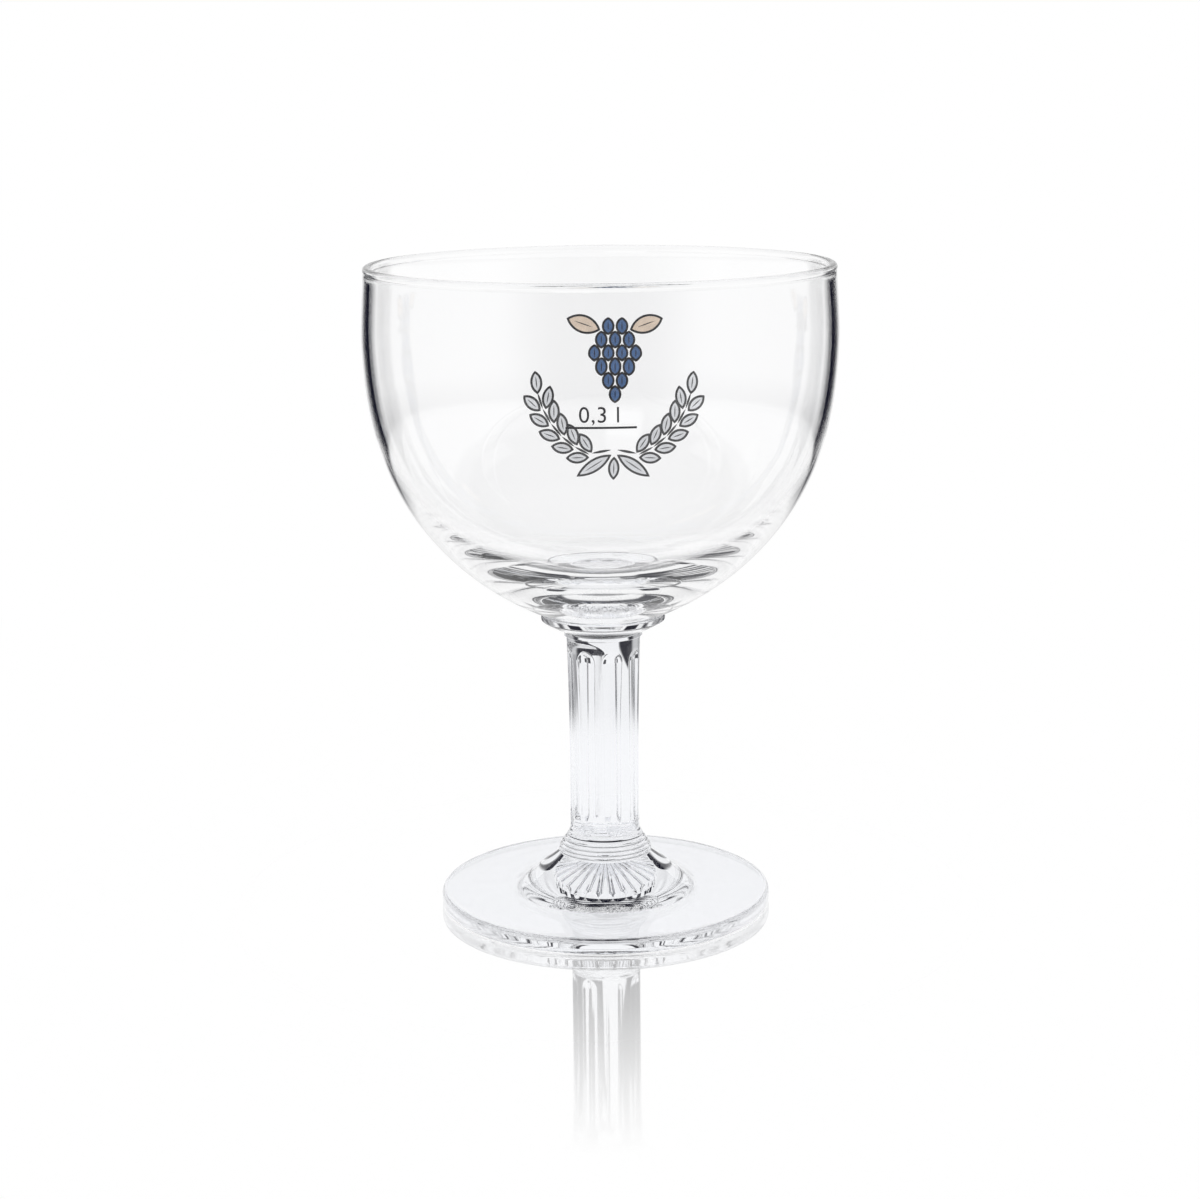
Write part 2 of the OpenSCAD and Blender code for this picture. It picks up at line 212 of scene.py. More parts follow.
class Wire:
    """A node's socket that does arithmetic by adding nodes to its tree."""

    def __init__(self, nodes, socket):
        self.nodes, self.socket = nodes, socket

    def maths(self, operation, *values):
        return self.nodes.wire("ShaderNodeMath", {"operation": operation}, values)

    def __add__(self, other):
        return self.maths("ADD", self, other)

    def __sub__(self, other):
        return self.maths("SUBTRACT", self, other)

    def __rsub__(self, other):
        return self.maths("SUBTRACT", other, self)

    def __mul__(self, other):
        return self.maths("MULTIPLY", self, other)

    def __truediv__(self, other):
        return self.maths("DIVIDE", self, other)

    def __rtruediv__(self, other):
        return self.maths("DIVIDE", other, self)

    def __pow__(self, other):
        return self.maths("POWER", self, other)

    __radd__ = __add__
    __rmul__ = __mul__

    def high(self, other):
        return self.maths("MAXIMUM", self, other)

    def above(self, other):
        return self.maths("GREATER_THAN", self, other)

    def root(self):
        return self.maths("SQRT", self.high(0.0))

    def sine(self):
        return self.maths("SINE", self)

    def cosine(self):
        return self.maths("COSINE", self)

    def size(self):
        return self.maths("ABSOLUTE", self)

    def step(self, start, end):
        """0 up to start, 1 from end on, and smooth between."""
        return self.nodes.wire(
            "ShaderNodeMapRange", {"interpolation_type": "SMOOTHSTEP"},
            {"Value": self, "From Min": start, "From Max": end},
        )

    def band(self, start, full, end, gone):
        """1 from full to end, 0 before start and past gone, and smooth between."""
        return self.step(start, full) * (1 - self.step(end, gone))


class Nodes:
    """Adds nodes to a tree: their settings first, then the values or links of their sockets."""

    def __init__(self, tree):
        self.tree = tree
        tree.nodes.clear()

    def add(self, kind, settings=None, inputs=()):
        node = self.tree.nodes.new(kind)
        for name, value in (settings or {}).items():
            setattr(node, name, value)
        pairs = inputs.items() if isinstance(inputs, dict) else enumerate(inputs)
        for key, value in pairs:
            socket = node.inputs[key]
            if isinstance(value, Wire):
                self.tree.links.new(value.socket, socket)
            elif value is not None:
                socket.default_value = value
        return node

    def wire(self, kind, settings=None, inputs=(), output=0):
        return Wire(self, self.add(kind, settings, inputs).outputs[output])

    def outputs(self, kind, *names, settings=None, inputs=()):
        node = self.add(kind, settings, inputs)
        return [Wire(self, node.outputs[name]) for name in names]

    def split(self, vector):
        return self.outputs("ShaderNodeSeparateXYZ", "X", "Y", "Z", inputs=[vector])

    def join(self, x, y, z):
        return self.wire("ShaderNodeCombineXYZ", inputs=[x, y, z])

    def over(self, factor, a, b):
        """Shader b laid over shader a."""
        return self.wire("ShaderNodeMixShader", inputs=[factor, a, b])

    def paint(self, geometry, material, faces=True):
        return self.wire("GeometryNodeSetMaterial", inputs=[geometry, faces, material])

    def noise(self, place, scale, detail):
        return self.wire(
            "ShaderNodeTexNoise", inputs={"Vector": place, "Scale": scale, "Detail": detail}
        )

    def mix(self, factor, a, b):
        """A colour between a and b."""
        a, b = ((*tone, 1.0) if isinstance(tone, tuple) else tone for tone in (a, b))
        return self.wire("ShaderNodeMix", {"data_type": "RGBA"}, {0: factor, 6: a, 7: b}, 2)


def new_material(name):
    material = bpy.data.materials.get(name)
    if material:
        return material, None
    material = bpy.data.materials.new(name)
    material.use_nodes = True
    return material, Nodes(material.node_tree)


def finish_material(nodes, shader):
    nodes.add("ShaderNodeOutputMaterial", inputs={"Surface": shader})


def clear_glass(name, tint, wave, wave_size):
    """Clear glass: a tint that drifts a little, and slow waves left by blowing or pressing."""
    material, nodes = new_material(name)
    if nodes is None:
        return material
    (place,) = nodes.outputs("ShaderNodeTexCoord", "Object")
    stretched = nodes.wire(
        "ShaderNodeMapping", inputs={"Vector": place, "Scale": (1.0, 1.0, 0.35)}
    )
    drift = nodes.noise(place, 14.0, 2.0)
    waves = nodes.noise(stretched, wave_size, 1.0)
    bump = nodes.wire(
        "ShaderNodeBump", inputs={"Strength": 1.0, "Distance": wave, "Height": waves}
    )
    paler = tuple(min(1.0, c + 0.012) for c in tint)
    shader = nodes.wire("ShaderNodeBsdfPrincipled", inputs={
        "Base Color": nodes.mix(drift, tint, paler), "Normal": bump,
        "Roughness": 0.0, "IOR": 1.52, "Transmission Weight": 1.0,
    })
    finish_material(nodes, shader)
    return material


def joint_face():
    """The face at which two glass pieces are fused: nothing shows there."""
    material, nodes = new_material("fused_joint")
    if nodes:
        finish_material(nodes, nodes.wire("ShaderNodeBsdfPrincipled", inputs={"Alpha": 0.0}))
    return material


def enamel(name, tone):
    """Fired enamel: satin, finely speckled, a little uneven in thickness."""
    material, nodes = new_material(name)
    if nodes is None:
        return material
    (place,) = nodes.outputs("ShaderNodeTexCoord", "Object")
    cloud = nodes.noise(place, 420.0, 3.0)
    grain = nodes.noise(place, 4200.0, 1.0)
    darker = tuple(c * 0.82 for c in tone)
    lighter = tuple(min(1.0, c * 1.1 + 0.004) for c in tone)
    patch = nodes.mix(cloud, darker, lighter)
    bump = nodes.wire(
        "ShaderNodeBump", inputs={"Strength": 0.5, "Distance": 0.00001, "Height": grain}
    )
    shader = nodes.wire("ShaderNodeBsdfPrincipled", inputs={
        "Base Color": patch, "Roughness": 0.24 + cloud * 0.16, "Normal": bump,
    })
    finish_material(nodes, shader)
    return material


def keep(piece, nodes_replaced):
    """Hangs a finished piece on the body it rides on and hides the CAD nodes it stands for."""
    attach(piece, BODY)
    if nodes_replaced:
        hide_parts(*nodes_replaced)


def add_object(name, mesh, materials=()):
    piece = bpy.data.objects.new(name, mesh)
    bpy.context.scene.collection.objects.link(piece)
    for material in materials:
        mesh.materials.append(material)
    return piece


def smooth(mesh):
    mesh.shade_smooth()
    mesh.set_sharp_from_angle(angle=math.radians(SHARP_DEG))


def turned(name, rows, joint_rows, glass):
    """A turned piece. A row is a radius and a height, each one number or one for every step
    round. The outline runs from the lower end of the axis outwards and up. Bands that start at
    a row in joint_rows are faces at which the piece is fused to its neighbour."""
    angle = np.arange(ROUND_STEPS) * (2 * math.pi / ROUND_STEPS)
    vertices, first, single = [], [], []
    for radius, height in rows:
        first.append(len(vertices))
        on_axis = np.max(radius) == 0.0
        single.append(on_axis)
        if on_axis:
            vertices.append((0.0, 0.0, float(np.mean(height))))
            continue
        x, y = radius * np.cos(angle), radius * np.sin(angle)
        z = np.broadcast_to(height, angle.shape)
        vertices.extend(zip(x.tolist(), y.tolist(), z.tolist()))
    faces, slots = [], []
    for i in range(len(rows) - 1):
        low, high = first[i], first[i + 1]
        for j in range(ROUND_STEPS):
            k = (j + 1) % ROUND_STEPS
            if single[i]:
                faces.append((low, high + k, high + j))
            elif single[i + 1]:
                faces.append((low + j, low + k, high))
            else:
                faces.append((low + j, low + k, high + k, high + j))
            slots.append(1 if i in joint_rows else 0)
    mesh = bpy.data.meshes.new(name)
    mesh.from_pydata(vertices, [], faces)
    piece = add_object(name, mesh, [glass, joint_face()])
    mesh.polygons.foreach_set("material_index", slots)
    mesh.update()
    smooth(mesh)
    return piece


def arc(x, z, r, start_deg, end_deg, steps):
    turn = np.radians(np.linspace(start_deg, end_deg, steps + 1))
    return [(x + r * math.cos(a), z + r * math.sin(a)) for a in turn]


def between(a, b, steps):
    """The points on the line from a to b, without the two themselves."""
    return [
        (a[0] + (b[0] - a[0]) * i / steps, a[1] + (b[1] - a[1]) * i / steps)
        for i in range(1, steps)
    ]


class BowlOutline:
    """Radius of the bowl's outside and inside at a height above its joint."""

    def __init__(self, b):
        self.b, self.r = b, b.diameter / 2
        seat = (b.seat / 2 / self.r) ** BASE_POWER
        self.depth = b.side_height / (1 - seat) ** (1 / SIDE_POWER)

    def tuck(self, h):
        share = max(0.0, h - self.b.height + self.b.tuck_height) / self.b.tuck_height
        return self.b.tuck * share**TUCK_POWER

    def outside(self, h):
        fall = (max(0.0, self.b.side_height - h) / self.depth) ** SIDE_POWER
        return self.r * (1 - fall) ** (1 / BASE_POWER) - self.tuck(h)

    def inside(self, h):
        side, floor = self.b.side_height, self.b.floor
        fall = (max(0.0, side - h) / (side - floor)) ** SIDE_POWER
        return (self.r - self.b.wall) * max(0.0, 1 - fall) ** (1 / INSIDE_POWER) - self.tuck(h)

    def outside_wire(self, h):
        """The same as outside, on a node socket."""
        b = self.b
        fall = ((b.side_height - h).high(0.0) / self.depth) ** SIDE_POWER
        share = (h - (b.height - b.tuck_height)).high(0.0) / b.tuck_height
        return self.r * (1 - fall) ** (1 / BASE_POWER) - b.tuck * share**TUCK_POWER


def joint_heights():
    """Heights of the joints: foot to stem, stem to collar, collar to bowl."""
    low = sizes("foot").height
    middle = low + sizes("stem").height
    return low, middle, middle + sizes("collar").height


def bowl_glass():
    return clear_glass("blown_glass", tuple(sizes("bowl").glass), 0.00002, 60.0)


def pressed_glass():
    return clear_glass("pressed_glass", tuple(sizes("stem").glass), 0.00003, 90.0)


class MakeBowl(bpy.types.Operator):
    """Turns the blown bowl with its fire-polished rim"""

    bl_idname = "chalice.bowl"
    bl_label = "Bowl"

    def execute(self, context):
        b, outline = sizes("bowl"), BowlOutline(sizes("bowl"))
        seat_z = joint_heights()[2]
        bead = b.bead / 2
        bead_h = b.height - bead
        bead_x = outline.outside(bead_h) + b.bead_out - bead
        wall_end = bead_h - bead
        shares = [i / BOWL_STEPS for i in range(BOWL_STEPS + 1)]
        up = [wall_end * t**OUTSIDE_CROWD for t in shares]
        down = [b.floor + (wall_end - b.floor) * t**INSIDE_CROWD for t in shares[:0:-1]]
        rows = [(0.0, 0.0)]
        rows += [(outline.outside(h), h) for h in up]
        rows += arc(bead_x, bead_h, bead, BEAD_FROM_DEG, 180 - BEAD_FROM_DEG, BEAD_STEPS)
        rows += [(outline.inside(h), h) for h in down]
        rows += [(0.0, b.floor)]
        rows = [(r, seat_z + h) for r, h in rows]
        piece = turned("bowl_glass", rows, {0}, bowl_glass())
        keep(piece, ["bowl"])
        return {"FINISHED"}


class MakeCollar(bpy.types.Operator):
    """Turns the collar between bowl and stem"""

    bl_idname = "chalice.collar"
    bl_label = "Collar"

    def execute(self, context):
        c = sizes("collar")
        low = joint_heights()[1]
        radius, r = c.diameter / 2, c.rounding
        stem_r, seat_r = sizes("stem").top / 2, sizes("bowl").seat / 2
        edge = c.height - c.edge
        start = arc(radius - r, edge + r, r, COLLAR_FROM_DEG, 0, 8)
        step_low, step_top = (c.step / 2, 0.0), (c.step / 2, c.step_height)
        rows = [(0.0, 0.0), (stem_r, 0.0), step_low, *between(step_low, step_top, 4), step_top]
        rows += between(step_top, start[0], 8)
        rows += start + arc(radius - r, c.height - r, r, 0, 90, 8)
        rows += [(seat_r, c.height), (0.0, c.height)]
        top_joint = len(rows) - 2
        rows = [(x, low + z) for x, z in rows]
        piece = turned("collar_glass", rows, {0, top_joint}, pressed_glass())
        keep(piece, ["collar"])
        return {"FINISHED"}


def geometry_tree(name):
    """A new geometry tree and a function that gives it a named input with a start value."""
    tree = bpy.data.node_groups.new(name, "GeometryNodeTree")
    tree.interface.new_socket(name="Mesh", in_out="OUTPUT", socket_type="NodeSocketGeometry")
    nodes = Nodes(tree)
    given = {}

    def take(label, value, kind="NodeSocketFloat"):
        socket = tree.interface.new_socket(name=label, in_out="INPUT", socket_type=kind)
        given[label] = (socket.identifier, value)

    return tree, nodes, given, take


def baked(name, mesh, tree, given):
    """Runs a geometry tree on a mesh and returns the result as a plain mesh."""
    holder = add_object(name + "_start", mesh)
    modifier = holder.modifiers.new("shape", "NODES")
    modifier.node_group = tree
    for identifier, value in given.values():
        modifier[identifier] = value
    graph = bpy.context.evaluated_depsgraph_get()
    made = bpy.data.meshes.new_from_object(
        holder.evaluated_get(graph), preserve_all_data_layers=True, depsgraph=graph
    )
    holder.modifiers.remove(modifier)
    bpy.data.objects.remove(holder)
    made.name = name
    if not made.polygons:
        raise RuntimeError(f"{name} came out empty")
    return made


class MakeStem(bpy.types.Operator):
    """Shapes the fluted stem with a geometry tree"""

    bl_idname = "chalice.stem"
    bl_label = "Stem"

    def execute(self, context):
        s = sizes("stem")
        radius, depth = s.diameter / 2, s.flute_depth
        drop = radius - math.sqrt(radius**2 - (s.flute_width / 2) ** 2)
        sag = depth - drop
        rod = ((s.flute_width / 2) ** 2 + sag**2) / (2 * sag)
        tree, nodes, given, take = geometry_tree("fluted_stem")
        run = math.sqrt(rod**2 - (rod - depth) ** 2)
        for label, value in {
            "Foot joint": joint_heights()[0], "Height": s.height, "Radius": radius,
            "Top radius": s.top / 2, "Waist": s.waist, "Flutes": float(s.flutes), "Turn": s.turn,
            "Rod radius": rod, "Rod distance": radius - depth + rod,
            "Rod start": s.bottom_gap + run, "Rod end": s.height - s.top_gap - run,
            "Softness": s.softness,
        }.items():
            take(label, value)
        (joint, height, plain, top, waist, count, turn, rod_r, rod_x, start, end,
         soft) = nodes.outputs("NodeGroupInput", *given)
        mesh, top_cap, low_cap = nodes.outputs(
            "GeometryNodeMeshCylinder", "Mesh", "Top", "Bottom",
            settings={"fill_type": "TRIANGLE_FAN"},
            inputs={"Vertices": 360, "Side Segments": 176, "Radius": 1.0, "Depth": 1.0},
        )
        place = nodes.wire("GeometryNodeInputPosition")
        x, y, z = nodes.split(place)
        h = (z + 0.5) * height
        bulge = ((h - waist).high(0.0) / (height - waist)) ** 2.0
        round_r = plain + (top - plain) * bulge
        pitch = 2 * math.pi / count
        angle = x.maths("ARCTAN2", y, x) + math.pi / 2 + turn
        off = angle.maths("WRAP", angle, pitch * 0.5, pitch * -0.5)
        beyond = (start - h).high(h - end).high(0.0)
        rod_here = (rod_r * rod_r - beyond * beyond).root()
        reach = rod_here * rod_here - (rod_x * off.sine()) ** 2.0
        cut = rod_x * off.cosine() - reach.root()
        hit = reach.above(0.0) * rod_here.above(0.0)
        groove = cut * hit + (round_r + 0.01) * (1 - hit)
        shaped = groove.maths("SMOOTH_MIN", round_r, groove, soft)
        new = nodes.join(x * shaped, y * shaped, joint + h)
        moved = nodes.wire("GeometryNodeSetPosition", inputs={"Geometry": mesh, "Position": new})
        whole = nodes.wire("GeometryNodeRealizeInstances", inputs=[moved])
        clear = nodes.paint(whole, pressed_glass())
        nodes.add("NodeGroupOutput", inputs=[nodes.paint(clear, joint_face(), top_cap + low_cap)])
        made = baked("stem_glass", bpy.data.meshes.new("stem_start"), tree, given)
        smooth(made)
        keep(add_object("stem_glass", made), ["stem"])
        return {"FINISHED"}


class MakeFoot(bpy.types.Operator):
    """Turns the pressed foot with its ringed knuckle and the ribbed dimple under it"""

    bl_idname = "chalice.foot"
    bl_label = "Foot"

    def execute(self, context):
        f = sizes("foot")
        stem_r, radius, knuckle_r = (d / 2 for d in (sizes("stem").diameter, f.diameter, f.knuckle))
        stand_out = radius - f.bottom_round
        stand_in = (stand_out - f.stand, 0.0)
        rows = self.dimple_rows(f)
        rows += between((f.dimple / 2, f.hollow), stand_in, 24)
        rows += [stand_in, *arc(stand_out, f.bottom_round, f.bottom_round, -90, 0, 12)]
        rows += arc(radius - f.top_round, f.edge - f.top_round, f.top_round,
                    0, 90 - math.degrees(f.disc_slope), 12)
        blend = self.blend_arc(f, radius, knuckle_r)
        rows += between(rows[-1], blend[0], 20)
        rows += blend
        rows += between(blend[-1], (self.knuckle(f, stem_r, knuckle_r, 1.0), f.knuckle_low), 10)
        steps = RING_STEPS * f.rings
        for i in range(steps + 1):
            t = 1 - i / steps
            rows.append((self.knuckle(f, stem_r, knuckle_r, t),
                         f.height - (f.height - f.knuckle_low) * t))
        rows.append((0.0, f.height))
        piece = turned("foot_glass", rows, {len(rows) - 2}, pressed_glass())
        keep(piece, ["foot"])
        return {"FINISHED"}

    @staticmethod
    def knuckle(f, stem_r, knuckle_r, t):
        """Radius of the ringed knuckle, from the stem at t = 0 down to the cone at t = 1."""
        swell = (1 - math.cos(math.pi * t**KNUCKLE_POWER)) / 2
        ring = abs(math.sin(math.pi * f.rings * t))
        return stem_r + (knuckle_r - stem_r) * swell + f.ring_out * ring

    @staticmethod
    def blend_arc(f, radius, knuckle_r):
        """The hollow arc that touches the line of the disc and the line of the cone."""
        disc, cone = math.tan(f.disc_slope), math.tan(f.cone_slope)
        end_x = radius - f.top_round
        meet_x = (f.knuckle_low - f.edge + knuckle_r * cone - end_x * disc) / (cone - disc)
        meet_z = f.edge + (end_x - meet_x) * disc
        run = f.blend * math.tan((f.cone_slope - f.disc_slope) / 2)
        x = meet_x + run * math.cos(f.disc_slope) + f.blend * math.sin(f.disc_slope)
        z = meet_z - run * math.sin(f.disc_slope) + f.blend * math.cos(f.disc_slope)
        return arc(x, z, f.blend, -90 - math.degrees(f.disc_slope),
                   -90 - math.degrees(f.cone_slope), 20)

    @staticmethod
    def dimple_rows(f):
        """A blunt dome with tapered ribs that fan out from near its crown."""
        rim, rise = f.dimple / 2, f.dimple_height - f.hollow
        turn = np.arange(ROUND_STEPS) * (2 * math.pi / ROUND_STEPS)
        pitch = 2 * math.pi / f.ribs
        off = (turn + pitch / 2) % pitch - pitch / 2
        start = rim * CROWN_SHARE
        start_z = f.hollow + rise * (1 - CROWN_SHARE**DOME_POWER)
        fan = math.atan((start_z - f.hollow) / (rim - start))
        rows = [(0.0, f.dimple_height)]
        for i in range(1, DIMPLE_STEPS + 1):
            r = rim * i / DIMPLE_STEPS
            dome = f.hollow + rise * (1 - (r / rim) ** DOME_POWER)
            z = np.full(ROUND_STEPS, dome)
            if r > start:
                rib = r * math.sin(math.pi / f.ribs) * RIB_FILL_SHARE
                axis = start_z - (r - start) * math.tan(fan)
                aside = r * np.sin(off)
                lift = np.sqrt(np.maximum(0.0, rib**2 - aside**2)) / math.cos(fan)
                z = np.maximum(z, axis + lift)
            if i == DIMPLE_STEPS:
                z = np.full(ROUND_STEPS, f.hollow)
            rows.append((r, z))
        return rows


def on_bowl(name, material, middle, turn, shape=None):
    """A tree that wraps a flat drawing on the bowl: x to the right, y up, z out of the glass.
    With a shape, it sets that shape on each point of the drawing first."""
    tree, nodes, given, take = geometry_tree(name)
    take("Drawing", None, "NodeSocketGeometry")
    given.clear()  # the drawing is the mesh that the tree runs on, and is given no value
    take("Middle height", middle - joint_heights()[2])
    take("Turn", turn)
    if shape:
        take("Shape", shape, "NodeSocketObject")
    start = nodes.add("NodeGroupInput")
    flat, middle, turn = (Wire(nodes, start.outputs[i]) for i in range(3))
    if shape:
        part = nodes.wire("GeometryNodeObjectInfo",
                          inputs=[Wire(nodes, start.outputs[3])], output="Geometry")
        lean = nodes.wire("GeometryNodeInputNamedAttribute", {"data_type": "FLOAT"}, ["turn"])
        spin = nodes.join(0.0, 0.0, lean)
        flat = nodes.wire("GeometryNodeInstanceOnPoints", inputs={
            "Points": flat, "Instance": part, "Rotation": spin})
    flat = nodes.wire("GeometryNodeRealizeInstances", inputs=[flat])
    place = nodes.wire("GeometryNodeInputPosition")
    x, y, z = nodes.split(place)
    h = middle + y
    radius = BowlOutline(sizes("bowl")).outside_wire(h) + z
    away = (radius * radius - x * x).root()
    new = nodes.join(
        away * turn.sine() - x * turn.cosine(), away * turn.cosine() + x * turn.sine(),
        h + joint_heights()[2],
    )
    wrapped = nodes.wire("GeometryNodeSetPosition", inputs={"Geometry": flat, "Position": new})
    nodes.add("NodeGroupOutput", inputs=[nodes.paint(wrapped, material)])
    return tree, given


# How much thicker the black is than the other colours, on both of its faces
BLACK_PROUD = 0.01 * MM


def slab(name, outline_pairs, closed, thicker=0.0):
    """A thin solid between two rows of flat points, such as a leaf's left and right edges."""
    p = sizes("print")
    low, high = p.lift - thicker, p.proud + thicker
    across = ACROSS_STEPS
    grid = [[a, *between(a, b, across), b] for a, b in outline_pairs]
    rows, columns = len(grid), across + 1
    vertices = [(x, y, high) for row in grid for x, y in row]
    vertices += [(x, y, low) for row in grid for x, y in row]
    layer = rows * columns
    faces = []
    last = rows if closed else rows - 1
    for i in range(last):
        n = (i + 1) % rows
        for k in range(across):
            a, b = i * columns + k, i * columns + k + 1
            c, d = n * columns + k + 1, n * columns + k
            faces.append((a, b, c, d))
            faces.append((layer + d, layer + c, layer + b, layer + a))
        for k, flip in ((0, True), (across, False)):
            a, b = i * columns + k, n * columns + k
            side = (a, b, layer + b, layer + a)
            faces.append(side if flip else side[::-1])
    if not closed:
        for i, flip in ((0, False), (rows - 1, True)):
            for k in range(across):
                a, b = i * columns + k, i * columns + k + 1
                side = (a, layer + a, layer + b, b)
                faces.append(side[::-1] if flip else side)
    mesh = bpy.data.meshes.new(name)
    mesh.from_pydata(vertices, [], faces)
    work = bmesh.new()
    work.from_mesh(mesh)
    bmesh.ops.remove_doubles(work, verts=work.verts, dist=1e-7)
    bmesh.ops.dissolve_degenerate(work, edges=work.edges, dist=1e-7)
    bmesh.ops.recalc_face_normals(work, faces=work.faces)
    work.to_mesh(mesh)
    work.free()
    return mesh


def leaf_edge(long, wide, grow):
    """Right half of a pointed leaf's outline, foot to tip, moved outwards by grow."""
    half = long / 2
    r = (half**2 + (wide / 2) ** 2) / wide
    tip = math.sqrt((r + grow) ** 2 - (r - wide / 2) ** 2)
    edge = []
    for i in range(LEAF_STEPS + 1):
        y = -tip * math.cos(math.pi * i / LEAF_STEPS)
        x = max(0.0, math.sqrt((r + grow) ** 2 - y**2) - (r - wide / 2))
        if i in (0, LEAF_STEPS):
            x = 0.0
        edge.append((x, half + y))
    return edge


def leaf_fill(name, long, wide, grow, thicker=0.0):
    edge = leaf_edge(long, wide, grow)
    return slab(name, [((-x, y), (x, y)) for x, y in edge], False, thicker)


def black_line(name, long, wide):
    return leaf_fill(name, long, wide, 0.0, BLACK_PROUD)


def leaf_ring(name, long, wide, stroke):
    inner, outer = leaf_edge(long, wide, -stroke / 2), leaf_edge(long, wide, stroke / 2)
    pairs = list(zip(inner, outer))
    pairs += [((-a[0], a[1]), (-b[0], b[1])) for a, b in pairs[-2:0:-1]]
    return slab(name, pairs, True, BLACK_PROUD)


def points(name, places):
    """A mesh of loose points, each with its turn."""
    mesh = bpy.data.meshes.new(name)
    mesh.from_pydata([(x, y, 0.0) for x, y, _turn in places], [], [])
    turn = mesh.attributes.new("turn", "FLOAT", "POINT")
    turn.data.foreach_set("value", [math.radians(t) for _x, _y, t in places])
    return mesh


# The decoration: scales in each row of the cone, and shares of the sizes that the shapes follow
HOP_ROWS = (2, 3, 4, 3, 2, 1)
SCALE_WIDTH_SHARE = 0.203
SCALE_LENGTH_SHARE = 0.1875
HOP_TOP_SHARE = 0.92
HOP_LEAF_ASIDE_SHARE = 0.308
HOP_LEAF_DROP_SHARE = 0.134
GRAIN_ASIDE_SHARE = 0.35
BLADE_ASIDE_SHARE = 0.4
BLADE_LOW_SHARE = 0.13
DROP_LOW_SHARE = 0.25
STALK_FROM_SHARE = 1.15
STALK_SHORT_SHARE = 0.7
VEIN_FROM_SHARE = 0.2
VEIN_LONG_SHARE = 0.6
HOP_LEAF_DEG = 70.0
EAR_LEAN_DEG = 62.0
EAR_BEND_DEG = 11.0
GRAIN_LEAN_DEG = 28.0
BLADE_DEG = 122.0
STALK_DEG = 99.5


class Motif:
    """Where the leaf shapes of the decoration have their feet, with each one's turn in degrees."""

    def __init__(self, p):
        self.p = p
        self.scale = (p.hop_height * SCALE_LENGTH_SHARE, p.hop_width * SCALE_WIDTH_SHARE)
        self.hop_top = p.hop_height * HOP_TOP_SHARE
        self.blade_foot = -p.ear_low - p.blade_width * BLADE_LOW_SHARE
        self.blade_aside = p.blade_width * BLADE_ASIDE_SHARE

    def scales(self):
        """The cone's scales, tips down, each row set between the scales above."""
        across = (self.p.hop_width - self.scale[1]) / (max(HOP_ROWS) - 1)
        down = (self.p.hop_height - self.scale[0]) / (len(HOP_ROWS) - 1)
        return [
            ((i - (count - 1) / 2) * across, self.hop_top - row * down, 180.0)
            for row, count in enumerate(HOP_ROWS) for i in range(count)
        ]

    def hop_leaves(self):
        x = self.p.hop_width * HOP_LEAF_ASIDE_SHARE
        y = self.hop_top - self.p.hop_height * HOP_LEAF_DROP_SHARE
        return [(side * x, y, -side * HOP_LEAF_DEG) for side in (-1, 1)]

    def ear_axis(self):
        """Steps up the right-hand ear, each with its lean from upright."""
        x, y, lean = self.p.ear_gap / 2, -self.p.ear_low, EAR_LEAN_DEG
        steps = [(x, y, lean)]
        for _pair in range(self.p.grain_pairs):
            ahead = math.radians(lean)
            x += self.p.grain_pitch * math.sin(ahead)
            y += self.p.grain_pitch * math.cos(ahead)
            lean -= EAR_BEND_DEG
            steps.append((x, y, lean))
        return steps

    def grains(self):
        aside = self.p.grain_width * GRAIN_ASIDE_SHARE
        steps = self.ear_axis()
        places = [(0.0, self.blade_foot - self.p.grain_width * DROP_LOW_SHARE, 180.0)]
        for side in (-1, 1):
            for x, y, lean in steps[:-1]:
                ahead = math.radians(lean)
                for hand in (-1, 1):
                    places.append((
                        side * (x + hand * aside * math.cos(ahead)),
                        y - hand * aside * math.sin(ahead),
                        -side * (lean + hand * GRAIN_LEAN_DEG),
                    ))
            x, y, lean = steps[-1]
            places.append((side * x, y, -side * lean))
        return places

    def ear_stalks(self):
        steps = self.ear_axis()[:-1]
        return [(side * x, y, -side * lean) for side in (-1, 1) for x, y, lean in steps]

    def blades(self):
        x, y = self.blade_aside, self.blade_foot
        return [(side * x, y, -side * BLADE_DEG) for side in (-1, 1)]

    def stalks(self):
        x, y = self.p.stalk_width * STALK_FROM_SHARE, self.blade_aside - self.p.ear_low
        return [(side * x, y, -side * STALK_DEG) for side in (-1, 1)]

    def stalk_length(self):
        ends = STALK_FROM_SHARE + STALK_SHORT_SHARE
        return self.p.ear_gap / 2 - self.p.stalk_width * ends


def moved_along(places, distance):
    """The same places, each moved in the direction in which its leaf points."""
    moved = []
    for x, y, turn in places:
        way = math.radians(turn)
        moved.append((x - distance * math.sin(way), y + distance * math.cos(way), turn))
    return moved


